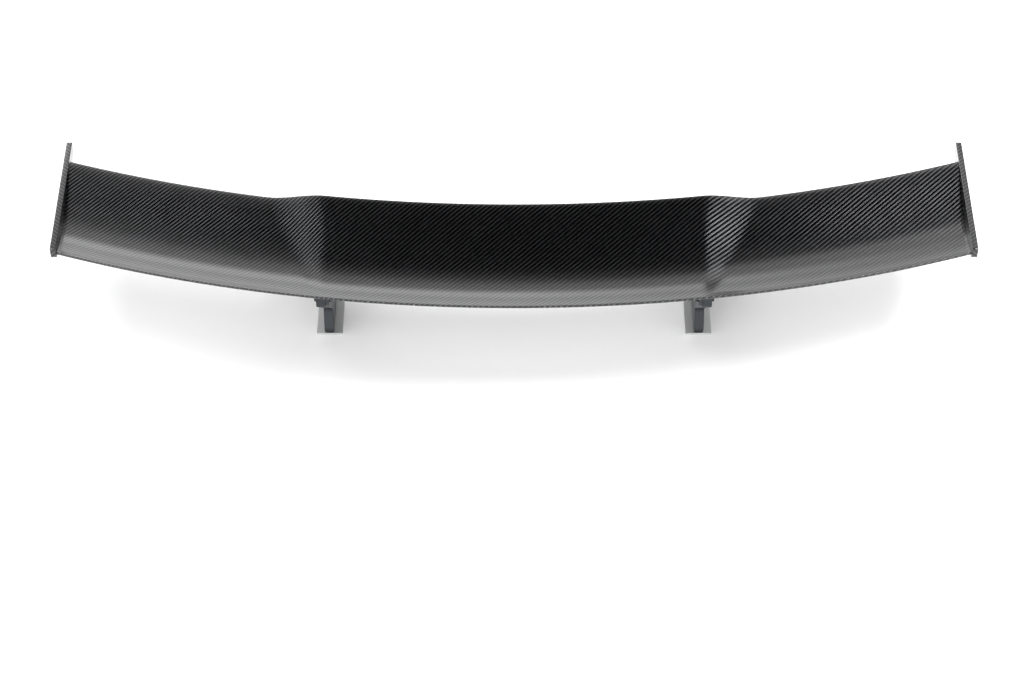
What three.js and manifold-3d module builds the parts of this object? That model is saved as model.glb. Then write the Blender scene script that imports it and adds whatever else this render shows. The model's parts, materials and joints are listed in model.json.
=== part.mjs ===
// Racing rear wing for a car's boot lid: a swept carbon blade between two end plates,
// carried by two machined uprights that bolt through the lid onto backing plates.
//
// Millimetres. +X spans the car from left to right, +Y is the car's front and +Z is up.
// The origin is the centre of the whole part's footprint, at the height of the bolt heads
// that it stands on.
//
// Two frames are used while building:
//   mount frame: y and z are counted from the rear bottom corner of the upright's base;
//   wing frame:  y and z are counted from the pivot, along and across the blade's chord.

import * as THREE from 'three';
import { mergeVertices } from 'three/addons/utils/BufferGeometryUtils.js';
import Module from 'manifold-3d';

const wasm = await Module();
wasm.setup();

const GAP = 0.3;                 // air between two pieces that touch on the real wing
const BORE_PAST = 1;             // how far a drill runs out past the face it enters

// ---------------------------------------------------------------- driving dimensions

const BLADE_HALF_SPAN = 743;     // at mid-chord
const END_PLATE_THICKNESS = 9.7;
const TOE_OUT = THREE.MathUtils.degToRad(2.45);  // of the end plates and the blade's ends
const TOE_POWER = 6;             // how fast the toe-out dies away inboard

const CHORD = 217;
const SWEEP_RADIUS = 2250;       // both edges of the blade bow forward towards the ends
const CAMBER = 34;               // scale of the hollow in the blade's top
const CAMBER_AFT = 2.5;          // moves the deepest point of the hollow towards the rear
const BLADE_THICKNESS = 18;
const THICKEST = 0.34;           // place of the greatest thickness along the chord
const FLAT_TOP = 0.7;            // share of the nose's rounding that the underside takes over
const TRAILING_EDGE_THICKNESS = 5;
const SKIN = 2;
const BOND_LINE = 0.15;          // half the seam between the skins
const NOSE_HALF_HEIGHT = 0.6;
const GLUE_GAP = 1;              // room for adhesive between the skins and what is inside

const RAISE = 17;                // the middle's leading edge stands above the outer blade
const RAMP_NOSE = [310, 410];    // where the ramp starts and ends along the leading edge
const RAMP_TAIL = [302, 310];    // and along the trailing edge, where it has died out

const UPRIGHT_X = 309;           // middle of each upright, from the centre line
const UPRIGHT_THICKNESS = 16;
const FOOT_LENGTH = 200;
const FOOT_HOLES = [21.5, 100, 178.5];
const FOOT_HOLE_DEPTH = 20.5;
const GASKET = { width: 14.5, thickness: 1.5, holeRadius: 5.3, corner: 0.5 };
const LID_GAP = 2.4;             // the boot lid's skin is clamped in this space
const BACKING_PLATE = { width: 44, thickness: 3, holeRadius: 4.75, corner: 2 };

const M8 = { shank: 4, clearance: 4.3, headRadius: 7.5, headHeight: 5.3, length: 30 };
const FLAT_WASHER = { inner: 4.4, outer: 9, thickness: 1.6 };
const LOCK_WASHER = { inner: 4.3, outer: 7.45, thickness: 2.2 };
const M6 = { shank: 3, clearance: 3.3, headRadius: 5.25, headHeight: 3.3, length: 35 };
const FLANGE_NUT = { hexRadius: 5.77, height: 6, flangeRadius: 7.1, flangeHeight: 1.5 };
const M5 = { shank: 2.5, clearance: 2.8, headRadius: 4.6, headHeight: 2.8 };
const FINE_SIDES = 16;           // flats around a head, a washer or a counterbore
const COARSE_SIDES = 12;         // flats around a shank or a bore

const PIVOT = [-64, 158];        // tip hole of the upright, in the mount frame
const SETTING_HOLES = [          // two rows, half a step apart, for six settings
  [61.5, 107.5], [56.9, 98.4], [51.6, 90.2],
  [76.4, 107.5], [71.6, 97.8], [65.7, 88.7],
];
const SETTING_HOLE = SETTING_HOLES[0];
const REST_PITCH = THREE.MathUtils.degToRad(5);       // nose down, in the flattest setting
const PITCH_TRAVEL = THREE.MathUtils.degToRad(10.5);

// trailing edge of the blade at the uprights, in the wing frame
const TAIL_AT_UPRIGHT = [-31.8, 31.6];

const SPAR = { places: [0.2, 0.7], thickness: 3, end: 731 };
const END_RIB = { inner: 734, outer: 742, from: 0.06, to: 0.9 };
const HARDPOINT = { inner: 278, outer: 300, from: 0.26, to: 0.64 };
const FIXING_PLACES = [0.34, 0.58];   // along the chord, for both kinds of M5 screw
const END_FIXING_DEPTH = 7;

const BRACKET = { thickness: 5, flange: 3, flangeInner: 279, ear: 10.5, nose: 6 };
const BRACKET_BACK = [34, 12];   // corners of the web's lower edge, counted back from the slot
const BRACKET_BACK_RISE = 3;
const BRACKET_MARGIN = 0.06;     // share of the chord that the flange runs past its screws
const BRACKET_SCREW_X = 286.5;
const BRACKET_SCREW_REACH = 9;   // how far its screws reach in past the skin
const BLIND_BORE_ROOM = 1.5;     // their bores end this far past their tips
const BORE_START = 12;           // and start this far below the skin

const END_PLATE = {
  behindTail: 4,
  aheadOfNose: 52.5,
  rearTop: 11.5,
  frontTop: 2.2,
  rearHeight: 19,
  frontHeight: 12,
  belly: [[0.22, 30, 60], [0.5, 50, 90], [0.78, 38, 60]],   // share along, depth, easing
};
const UPRIGHT_OUTLINE = [         // corners [y, z, radius] in the mount frame
  [0, 0, 1], [202, 0, 1], [202, 7.6, 2], [193, 24, 4], [80, 112, 7],
  [46, 119.6, 50], [4, 133, 60], [-38, 151, 60], [-68, 174, 3], [-73, 147, 4],
  [15, 42, 12], [-1, 7.6, 2],
];
const UPRIGHT_WINDOWS = [
  [[-37, 134, 3], [46, 104, 7], [23, 64, 6]],
  [[54, 35, 6], [140, 32, 5], [82, 84, 8]],
];

// ------------------------------------------------------------------------- materials

const finish = (color, roughness, metalness) =>
  new THREE.MeshStandardMaterial({ color, roughness, metalness });
const carbon = () => finish(0x1b1c1e, 0.18, 0);
const alloy = () => finish(0x9a9da0, 0.45, 0.9);
const anodised = () => finish(0x1c1f23, 0.5, 0.6);
const zinc = () => finish(0xc3c7cb, 0.3, 1);
const blackSteel = () => finish(0x121314, 0.4, 0.8);
const rubber = () => finish(0x0d0d0d, 0.9, 0);

// ------------------------------------------------------------------- solid operations

function toManifold(geometry) {
  const bare = geometry.clone();
  bare.deleteAttribute('normal');
  bare.deleteAttribute('uv');
  const merged = mergeVertices(bare, 1e-4);
  return new wasm.Manifold(new wasm.Mesh({
    numProp: 3,
    vertProperties: new Float32Array(merged.attributes.position.array),
    triVerts: new Uint32Array(merged.index.array),
  }));
}

function fromManifold(solid) {
  const mesh = solid.getMesh();
  const geometry = new THREE.BufferGeometry();
  geometry.setAttribute('position', new THREE.BufferAttribute(mesh.vertProperties, mesh.numProp));
  geometry.setIndex(new THREE.BufferAttribute(mesh.triVerts, 1));
  return geometry;
}

function cut(geometry, tools) {
  const rest = tools.reduce((solid, tool) => solid.subtract(toManifold(tool)), toManifold(geometry));
  return fromManifold(rest);
}

function join(first, second) {
  return fromManifold(toManifold(first).add(toManifold(second)));
}

// round bar between two heights along Z, centred on x and y
function barZ(radius, x, y, low, high, sides = COARSE_SIDES) {
  return new THREE.CylinderGeometry(radius, radius, high - low, sides)
    .rotateX(Math.PI / 2)
    .translate(x, y, (low + high) / 2);
}

// round bar along X, centred on y and z
function barX(radius, y, z, low, high, sides = COARSE_SIDES) {
  return new THREE.CylinderGeometry(radius, radius, high - low, sides)
    .rotateZ(Math.PI / 2)
    .translate((low + high) / 2, y, z);
}

// flat ring about Z, from its lower face up
function ring({ inner, outer, thickness }, sides = FINE_SIDES) {
  const profile = [
    [inner, 0], [outer, 0], [outer, thickness], [inner, thickness], [inner, 0],
  ].map(([radius, height]) => new THREE.Vector2(radius, height));
  return new THREE.LatheGeometry(profile, sides).rotateX(Math.PI / 2);
}

const EASED_SHARE = 0.48;        // most of an edge that one eased corner may take

// outline of corners [x, y, corner radius], each eased by a curve between its tangent points
function outline(corners, target = new THREE.Shape()) {
  const at = (index) => corners[(index + corners.length) % corners.length];
  corners.forEach(([x, y, radius], index) => {
    if (radius === 0) {
      if (index === 0) target.moveTo(x, y);
      else target.lineTo(x, y);
      return;
    }
    const corner = new THREE.Vector2(x, y);
    const before = new THREE.Vector2(...at(index - 1).slice(0, 2)).sub(corner);
    const after = new THREE.Vector2(...at(index + 1).slice(0, 2)).sub(corner);
    const halfAngle = Math.abs(before.angleTo(after)) / 2;
    const room = Math.min(before.length(), after.length()) * EASED_SHARE;
    const reach = Math.min(radius / Math.tan(halfAngle), room);
    const start = corner.clone().addScaledVector(before.normalize(), reach);
    const end = corner.clone().addScaledVector(after.normalize(), reach);
    if (index === 0) target.moveTo(start.x, start.y);
    else target.lineTo(start.x, start.y);
    target.quadraticCurveTo(x, y, end.x, end.y);
  });
  target.closePath();
  return target;
}

// hole with flat sides that touch the circle from outside, so its full radius is clear
function roundHole(x, y, radius, sides = COARSE_SIDES) {
  const reach = radius / Math.cos(Math.PI / sides);
  const corners = Array.from({ length: sides }, (_, i) => {
    const angle = -2 * Math.PI * i / sides;
    return new THREE.Vector2(x + reach * Math.cos(angle), y + reach * Math.sin(angle));
  });
  return new THREE.Path(corners);
}

// plate in the YZ plane: the shape's x is the part's y, its y is the part's z
function sidePlate(shape, low, high, curveSegments) {
  const turn = new THREE.Matrix4().makeBasis(
    new THREE.Vector3(0, 1, 0),
    new THREE.Vector3(0, 0, 1),
    new THREE.Vector3(1, 0, 0),
  );
  return new THREE.ExtrudeGeometry(shape, { depth: high - low, bevelEnabled: false, curveSegments })
    .applyMatrix4(turn)
    .translate(low, 0, 0);
}

// solid through a row of closed loops; both ends are closed by joining loop points in pairs
function loft(loops) {
  const size = loops[0].length;
  const positions = loops.flat().flatMap((point) => point.toArray());
  const index = [];
  const quad = (a, b, c, d) => index.push(a, b, c, a, c, d);
  for (let k = 0; k + 1 < loops.length; k += 1) {
    for (let i = 0; i < size; i += 1) {
      const j = (i + 1) % size;
      quad(k * size + i, k * size + j, (k + 1) * size + j, (k + 1) * size + i);
    }
  }
  const last = (loops.length - 1) * size;
  for (let i = 0; i + 1 < size / 2; i += 1) {
    quad(i, size - 1 - i, size - 2 - i, i + 1);
    quad(last + i, last + i + 1, last + size - 2 - i, last + size - 1 - i);
  }
  const geometry = new THREE.BufferGeometry();
  geometry.setAttribute('position', new THREE.Float32BufferAttribute(positions, 3));
  geometry.setIndex(index);
  return geometry;
}

// ------------------------------------------------------------ the blade as a surface
// s runs along the chord from the nose, 0, to the tail, 1

const sagitta = (x) => SWEEP_RADIUS - Math.sqrt(SWEEP_RADIUS ** 2 - x ** 2);
const [TAIL_Y, TAIL_Z] = [TAIL_AT_UPRIGHT[0] - sagitta(UPRIGHT_X), TAIL_AT_UPRIGHT[1]];

const chordY = (x, s) => TAIL_Y + sagitta(x) + CHORD * (1 - s);

function raisedShare(x, s) {
  const inner = THREE.MathUtils.lerp(RAMP_NOSE[0], RAMP_TAIL[0], s);
  const outer = THREE.MathUtils.lerp(RAMP_NOSE[1], RAMP_TAIL[1], s);
  return 1 - THREE.MathUtils.smoothstep(Math.abs(x), inner, outer);
}

function camberZ(x, s) {
  const hollow = CAMBER * s * (1 - s) * (1 + CAMBER_AFT * s);
  const lift = FLAT_TOP * (halfThickness(THICKEST) - halfThickness(Math.min(s, THICKEST)));
  return TAIL_Z - hollow + lift + RAISE * (1 - s) * raisedShare(x, s);
}

// half the blade's thickness: a classic four-digit aerofoil plus a blunt tail
const FOIL = [-0.126, -0.3516, 0.2843, -0.1036];
const FOIL_ROOT = 0.2969;
const FOIL_SCALE = 5;

function halfThickness(s) {
  const foil = FOIL.reduce((sum, share, power) => sum + share * s ** (power + 1), FOIL_ROOT * Math.sqrt(s));
  return FOIL_SCALE * BLADE_THICKNESS * foil + (TRAILING_EDGE_THICKNESS / 2) * s;
}

const outerHalf = (s) => Math.max(halfThickness(s), NOSE_HALF_HEIGHT);
const innerHalf = (s) => Math.max(halfThickness(s) - SKIN, BOND_LINE);
const underside = (x, s) => camberZ(x, s) - outerHalf(s);

// where a chord point of station x really is along the span, with the ends toed out
function spread(x, s) {
  const share = (x / BLADE_HALF_SPAN) ** TOE_POWER;
  return x + Math.sign(x) * share * Math.tan(TOE_OUT) * (0.5 - s) * CHORD;
}

// closed loop across the blade at x, between two heights above and below each chord point
function bladeLoop(x, places, high, low) {
  const point = (s, height) => {
    const across = spread(x, s);
    return new THREE.Vector3(across, chordY(across, s), height(across, s));
  };
  const top = places.map((s) => point(s, high));
  const bottom = places.map((s) => point(s, low)).reverse();
  return [...top, ...bottom];
}

function even(from, to, count) {
  return Array.from({ length: count + 1 }, (_, i) => THREE.MathUtils.lerp(from, to, i / count));
}

// chord places, closer together at the nose and the tail
const SKIN_PLACES = even(0, Math.PI, 12).map((angle) => (1 - Math.cos(angle)) / 2);

// span stations, closer together over the ramps
function spanStations(end) {
  const [rampStart, rampEnd] = [RAMP_TAIL[0], RAMP_NOSE[1]];
  const half = [
    ...even(0, rampStart, 4),
    ...even(rampStart, rampEnd, 7).slice(1),
    ...even(rampEnd, end, 5).slice(1),
  ];
  return [...half.slice(1).map((x) => -x).reverse(), ...half];
}

function skin(high, low) {
  return loft(spanStations(BLADE_HALF_SPAN).map((x) => bladeLoop(x, SKIN_PLACES, high, low)));
}

const fitHigh = (x, s) => camberZ(x, s) + innerHalf(s) - GLUE_GAP;
const fitLow = (x, s) => camberZ(x, s) - innerHalf(s) + GLUE_GAP;

function spar(place) {
  const half = SPAR.thickness / 2 / CHORD;
  const loopAt = (x) => {
    const places = [place - half, place + half];
    const high = Math.min(...places.map((s) => fitHigh(x, s)));
    const low = Math.max(...places.map((s) => fitLow(x, s)));
    return bladeLoop(x, places, () => high, () => low);
  };
  return loft(spanStations(SPAR.end).map(loopAt));
}

// ------------------------------------------------------------------ pieces of one side
// All are built for the right-hand side, +X; the left-hand side is their mirror image.

function fixingPoint(x, s) {
  return { y: chordY(x, s), z: camberZ(x, s) };
}

function bladeEnd(s) {
  const x = spread(BLADE_HALF_SPAN, s);
  return new THREE.Vector2(x, chordY(x, s));
}

const [END_NOSE, END_MIDDLE, END_TAIL] = [0, 0.5, 1].map(bladeEnd);
const END_TURN = Math.atan2(END_NOSE.x - END_TAIL.x, END_NOSE.y - END_TAIL.y);

// turns a straight end plate, or what goes through it, out to lie along the blade's end
function toed(geometry) {
  return geometry
    .translate(-END_MIDDLE.x, -END_MIDDLE.y, 0)
    .rotateZ(-END_TURN)
    .translate(END_MIDDLE.x, END_MIDDLE.y, 0);
}

function endRib() {
  const places = even(END_RIB.from, END_RIB.to, 9);
  const rib = loft([END_RIB.inner, END_RIB.outer].map((x) => bladeLoop(x, places, fitHigh, fitLow)));
  const bores = FIXING_PLACES.map((s) => {
    const { y, z } = fixingPoint(BLADE_HALF_SPAN, s);
    return toed(barX(M5.clearance, y, z, END_RIB.inner - BORE_PAST, END_RIB.outer + BORE_PAST));
  });
  return cut(rib, bores);
}

function hardpoint() {
  const places = even(HARDPOINT.from, HARDPOINT.to, 5);
  const stations = even(HARDPOINT.inner, HARDPOINT.outer, 2);
  return cut(loft(stations.map((x) => bladeLoop(x, places, fitHigh, fitLow))), bracketBores());
}

function bracketBores() {
  return FIXING_PLACES.map((s) => {
    const y = chordY(BRACKET_SCREW_X, s);
    const base = underside(BRACKET_SCREW_X, s);
    const top = base + SKIN + BRACKET_SCREW_REACH + BLIND_BORE_ROOM;
    return barZ(M5.clearance, BRACKET_SCREW_X, y, base - BORE_START, top);
  });
}

function endPlate() {
  const x = BLADE_HALF_SPAN;
  const tail = { y: chordY(x, 1), z: camberZ(x, 1) };
  const nose = { y: chordY(x, 0), z: camberZ(x, 0) };
  const rearY = tail.y - END_PLATE.behindTail;
  const frontY = nose.y + END_PLATE.aheadOfNose;
  const rearTop = tail.z + END_PLATE.rearTop;
  const frontTop = nose.z + END_PLATE.frontTop;
  const along = (share) => THREE.MathUtils.lerp(rearY, frontY, share);
  const shape = outline([
    [rearY, rearTop - END_PLATE.rearHeight, 6],
    ...END_PLATE.belly.map(([share, depth, easing]) => [along(share), tail.z - depth, easing]),
    [frontY, frontTop - END_PLATE.frontHeight, 12],
    [frontY, frontTop, 5],
    [rearY, rearTop, 4],
  ]);
  const inner = x + GAP;
  const outer = inner + END_PLATE_THICKNESS;
  const bores = FIXING_PLACES.flatMap((s) => {
    const { y, z } = fixingPoint(x, s);
    const seat = outer - M5.headHeight - 2 * GAP;
    return [
      barX(M5.clearance, y, z, inner - BORE_PAST, outer + BORE_PAST),
      barX(M5.headRadius + GAP, y, z, seat, outer + BORE_PAST, FINE_SIDES),
    ];
  });
  return toed(cut(sidePlate(shape, inner, outer, 6), bores));
}

function endPlateScrew(s) {
  const { y, z } = fixingPoint(BLADE_HALF_SPAN, s);
  const face = BLADE_HALF_SPAN + END_PLATE_THICKNESS;
  const shoulder = face - M5.headHeight;
  const head = barX(M5.headRadius, y, z, shoulder, face);
  const shank = barX(M5.shank, y, z, END_RIB.outer - END_FIXING_DEPTH, shoulder + BORE_PAST);
  return toed(join(head, shank));
}

// the wing bracket: a web beside the upright with a pivot ear and a curved setting slot,
// and a flange screwed up into the blade's hardpoint
const BRACKET_OUTER = UPRIGHT_X - UPRIGHT_THICKNESS / 2 - GAP;
const BRACKET_INNER = BRACKET_OUTER - BRACKET.thickness;

const settingArm = new THREE.Vector2(SETTING_HOLE[0] - PIVOT[0], SETTING_HOLE[1] - PIVOT[1]);
const SETTING_RADIUS = settingArm.length();
const SLOT_START = Math.atan2(settingArm.y, settingArm.x) + REST_PITCH;
const SLOT_END = SLOT_START + PITCH_TRAVEL;

function polar(radius, angle) {
  return [radius * Math.cos(angle), radius * Math.sin(angle)];
}

// slot along an arc about the pivot, with round ends
function arcSlot(radius, halfWidth, from, to) {
  const slot = new THREE.Path();
  slot.absarc(0, 0, radius + halfWidth, from, to, false);
  slot.absarc(...polar(radius, to), halfWidth, to, to + Math.PI, false);
  slot.absarc(0, 0, radius - halfWidth, to, from, true);
  slot.absarc(...polar(radius, from), halfWidth, from + Math.PI, from + 2 * Math.PI, false);
  const points = slot.getPoints(6);
  const apart = (point, index) => point.distanceTo(points.at(index - 1)) > 0.01;
  return new THREE.Path(points.filter(apart));
}

function bracketWeb() {
  const undersideAt = (x, y) => underside(x, 1 - (y - chordY(x, 1)) / CHORD);
  const roof = (y) => Math.min(undersideAt(BRACKET_INNER, y), undersideAt(BRACKET_OUTER, y)) - GAP;
  const [slotY, slotZ] = polar(SETTING_RADIUS, SLOT_START);
  const [midBack, nearBack] = BRACKET_BACK;
  const frontY = slotY + BRACKET.ear + BRACKET.nose;
  const rearY = -BRACKET.ear;
  const top = even(frontY, rearY, 9).map((y) => [y, roof(y), 0]);
  const shape = outline([
    ...top,
    [rearY, -BRACKET.ear, BRACKET.ear],
    [slotY - midBack, slotZ + BRACKET_BACK_RISE, 30],
    [slotY - nearBack, slotZ - BRACKET.ear, 8],
    [frontY, slotZ - BRACKET.ear, BRACKET.ear],
  ]);
  shape.holes.push(
    roundHole(0, 0, M6.clearance),
    arcSlot(SETTING_RADIUS, M6.clearance, SLOT_START, SLOT_END),
  );
  return sidePlate(shape, BRACKET_INNER, BRACKET_OUTER, 5);
}

function bracketFlange() {
  const [front, rear] = FIXING_PLACES;
  const places = even(front - BRACKET_MARGIN, rear + BRACKET_MARGIN, 6);
  const high = (x, s) => underside(x, s) - GAP;
  const low = (x, s) => high(x, s) - BRACKET.flange;
  const stations = [BRACKET.flangeInner, (BRACKET_INNER + BRACKET_OUTER) / 2];
  return loft(stations.map((x) => bladeLoop(x, places, high, low)));
}

function wingBracket() {
  return cut(join(bracketWeb(), bracketFlange()), bracketBores());
}

function bracketScrew(s) {
  const y = chordY(BRACKET_SCREW_X, s);
  const reach = M5.headRadius / CHORD;
  const skinFace = Math.min(...[s - reach, s + reach].map((place) => underside(BRACKET_SCREW_X, place)));
  const headTop = skinFace - BRACKET.flange - 2 * GAP;
  const head = barZ(M5.headRadius, BRACKET_SCREW_X, y, headTop - M5.headHeight, headTop);
  const tip = underside(BRACKET_SCREW_X, s) + SKIN + BRACKET_SCREW_REACH;
  return join(head, barZ(M5.shank, BRACKET_SCREW_X, y, headTop - BORE_PAST, tip));
}

function upright() {
  const shape = outline(UPRIGHT_OUTLINE);
  shape.holes.push(
    ...UPRIGHT_WINDOWS.map((corners) => outline(corners, new THREE.Path())),
    ...[PIVOT, ...SETTING_HOLES].map(([y, z]) => roundHole(y, z, M6.clearance)),
  );
  const low = UPRIGHT_X - UPRIGHT_THICKNESS / 2;
  const bores = FOOT_HOLES.map((y) => barZ(M8.clearance, UPRIGHT_X, y, -BORE_PAST, FOOT_HOLE_DEPTH));
  return cut(sidePlate(shape, low, low + UPRIGHT_THICKNESS, 3), bores);
}

// heights of the clamped stack under the upright's base, from the top down
const GASKET_TOP = -GAP;
const PLATE_TOP = GASKET_TOP - GASKET.thickness - LID_GAP;
const FLAT_WASHER_TOP = PLATE_TOP - BACKING_PLATE.thickness - GAP;
const LOCK_WASHER_TOP = FLAT_WASHER_TOP - FLAT_WASHER.thickness - GAP;
const BOLT_HEAD_TOP = LOCK_WASHER_TOP - LOCK_WASHER.thickness - GAP;

// flat strip with the foot's three holes, hanging down from a height
function footStrip({ width, thickness, holeRadius, corner }, topZ) {
  const [near, far] = [UPRIGHT_X - width / 2, UPRIGHT_X + width / 2];
  const shape = outline([
    [near, 0, corner],
    [far, 0, corner],
    [far, FOOT_LENGTH, corner],
    [near, FOOT_LENGTH, corner],
  ]);
  shape.holes.push(...FOOT_HOLES.map((y) => roundHole(UPRIGHT_X, y, holeRadius)));
  return new THREE.ExtrudeGeometry(shape, { depth: thickness, bevelEnabled: false, curveSegments: 5 })
    .translate(0, 0, topZ - thickness);
}

function footBolt(y) {
  const head = barZ(M8.headRadius, UPRIGHT_X, y, BOLT_HEAD_TOP - M8.headHeight, BOLT_HEAD_TOP, 6);
  const shank = barZ(M8.shank, UPRIGHT_X, y, BOLT_HEAD_TOP - BORE_PAST, BOLT_HEAD_TOP + M8.length);
  return join(head, shank);
}

// ring of the stack under one foot hole, hanging down from a height
function footRing(size, y, topZ) {
  return ring(size).translate(UPRIGHT_X, y, topZ - size.thickness);
}

// the M6 screw through the upright and the bracket: head outside, flange nut inside
const SCREW_SHOULDER = UPRIGHT_X + UPRIGHT_THICKNESS / 2 + GAP;
const NUT_FACE = BRACKET_INNER - GAP;

function crossScrew([y, z]) {
  const head = barX(M6.headRadius, y, z, SCREW_SHOULDER, SCREW_SHOULDER + M6.headHeight, FINE_SIDES);
  const shank = barX(M6.shank, y, z, SCREW_SHOULDER - M6.length, SCREW_SHOULDER + BORE_PAST);
  return join(head, shank);
}

function crossNut([y, z]) {
  const { hexRadius, height, flangeRadius, flangeHeight } = FLANGE_NUT;
  const hexagon = barX(hexRadius, y, z, NUT_FACE - height, NUT_FACE - flangeHeight / 2, 6);
  const flange = barX(flangeRadius, y, z, NUT_FACE - flangeHeight, NUT_FACE, FINE_SIDES);
  const bore = barX(M6.clearance, y, z, NUT_FACE - height - BORE_PAST, NUT_FACE + BORE_PAST);
  return cut(join(hexagon, flange), [bore]);
}

// -------------------------------------------------------------------- the whole part

const assembly = new THREE.Group();
const wing = new THREE.Group();
wing.position.set(0, ...PIVOT);
wing.rotation.x = -REST_PITCH;
assembly.add(wing);

function add(parent, name, geometry, material) {
  const mesh = new THREE.Mesh(geometry, material);
  mesh.name = name;
  parent.add(mesh);
}

const topOfSkin = (x, s) => camberZ(x, s) + outerHalf(s);
const insideTop = (x, s) => camberZ(x, s) + innerHalf(s);
const insideBottom = (x, s) => camberZ(x, s) - innerHalf(s);
const lowerSkinBores = [1, -1].flatMap((side) => bracketBores().map((bore) => (
  side > 0 ? bore : bore.clone().translate(-2 * BRACKET_SCREW_X, 0, 0)
)));

add(wing, 'blade_upper_skin', skin(topOfSkin, insideTop), carbon());
add(wing, 'blade_lower_skin', cut(skin(insideBottom, underside), lowerSkinBores), carbon());
add(wing, 'front_spar', spar(SPAR.places[0]), carbon());
add(wing, 'rear_spar', spar(SPAR.places[1]), carbon());

for (const [hand, mirror] of [['left', -1], ['right', 1]]) {
  const wingSide = new THREE.Group();
  const mountSide = new THREE.Group();
  wingSide.scale.x = mirror;
  mountSide.scale.x = mirror;
  wing.add(wingSide);
  assembly.add(mountSide);

  add(wingSide, `end_rib_${hand}`, endRib(), alloy());
  add(wingSide, `hardpoint_${hand}`, hardpoint(), alloy());
  add(wingSide, `end_plate_${hand}`, endPlate(), carbon());
  add(wingSide, `wing_bracket_${hand}`, wingBracket(), anodised());
  for (const [end, place] of [['front', FIXING_PLACES[0]], ['rear', FIXING_PLACES[1]]]) {
    add(wingSide, `end_plate_screw_${hand}_${end}`, endPlateScrew(place), blackSteel());
    add(wingSide, `bracket_screw_${hand}_${end}`, bracketScrew(place), blackSteel());
  }

  add(mountSide, `upright_${hand}`, upright(), anodised());
  add(mountSide, `gasket_${hand}`, footStrip(GASKET, GASKET_TOP), rubber());
  add(mountSide, `backing_plate_${hand}`, footStrip(BACKING_PLATE, PLATE_TOP), zinc());
  FOOT_HOLES.forEach((y, index) => {
    const number = index + 1;
    add(mountSide, `foot_bolt_${hand}_${number}`, footBolt(y), zinc());
    add(mountSide, `lock_washer_${hand}_${number}`, footRing(LOCK_WASHER, y, LOCK_WASHER_TOP), zinc());
    add(mountSide, `flat_washer_${hand}_${number}`, footRing(FLAT_WASHER, y, FLAT_WASHER_TOP), zinc());
  });
  for (const [use, place] of [['pivot', PIVOT], ['setting', SETTING_HOLE]]) {
    add(mountSide, `${use}_screw_${hand}`, crossScrew(place), blackSteel());
    add(mountSide, `${use}_nut_${hand}`, crossNut(place), blackSteel());
  }
}

// set the assembly over the middle of its footprint, standing on its bolt heads
const part = new THREE.Group();
part.add(assembly);
part.updateMatrixWorld(true);
const extent = new THREE.Box3().setFromObject(assembly, true);
const middle = extent.getCenter(new THREE.Vector3());
assembly.position.set(-middle.x, -middle.y, -extent.min.z);
part.updateMatrixWorld(true);

export default part;
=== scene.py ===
"""Looks of the racing rear wing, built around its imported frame."""
import math

import bmesh
import bpy
from mathutils import Matrix, Vector
from mathutils.geometry import tessellate_polygon
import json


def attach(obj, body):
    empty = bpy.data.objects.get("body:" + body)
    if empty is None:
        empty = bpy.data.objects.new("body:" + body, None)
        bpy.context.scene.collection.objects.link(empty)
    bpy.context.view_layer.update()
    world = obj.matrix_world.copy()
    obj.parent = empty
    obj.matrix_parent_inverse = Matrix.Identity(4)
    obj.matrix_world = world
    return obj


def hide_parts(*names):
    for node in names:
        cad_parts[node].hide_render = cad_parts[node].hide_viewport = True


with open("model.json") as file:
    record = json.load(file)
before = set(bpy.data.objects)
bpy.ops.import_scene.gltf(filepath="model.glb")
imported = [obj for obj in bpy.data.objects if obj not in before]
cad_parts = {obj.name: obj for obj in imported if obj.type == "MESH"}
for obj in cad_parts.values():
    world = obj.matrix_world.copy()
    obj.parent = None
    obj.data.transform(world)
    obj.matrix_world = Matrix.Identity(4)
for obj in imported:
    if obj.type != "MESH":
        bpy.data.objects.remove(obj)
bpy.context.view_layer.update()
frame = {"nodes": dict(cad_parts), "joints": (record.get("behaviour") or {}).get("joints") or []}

NODES = frame["nodes"]

# ------------------------------------------------------------------- the part's sizes
# Lengths are in millimetres until the WING and MOUNT frames bring them to metres.
MM = 0.001
GAP = 0.3                          # between pieces that touch

HALF_SPAN = 743.0                  # at mid-chord
TOE_OUT, TOE_POWER = math.radians(2.45), 6
CHORD = 217.0
SWEEP_RADIUS = 2250.0
CAMBER, CAMBER_AFT = 34.0, 2.5
THICKNESS, TAIL_THICKNESS = 18.0, 5.0
THICKEST, FLAT_TOP = 0.34, 0.7     # ahead of the thickest place the top is nearly flat
RAISE = 17.0                       # how much the nose of the middle stands above the ends'
RAMP_NOSE, RAMP_TAIL = (310.0, 410.0), (302.0, 310.0)
SKIN = 2.0
BOND = 0.12                        # half of the gap where the two skins are bonded
BOND_RAMP = (0.965, 0.985)         # where the linings close up to the bonded tail
NOSE_HALF = 0.3
TAIL_LIP = 0.7                     # rounding of the tail's edge
SKIN_CUTS, LIP_STEPS, SKIN_STATIONS = 44, 4, 240

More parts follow.
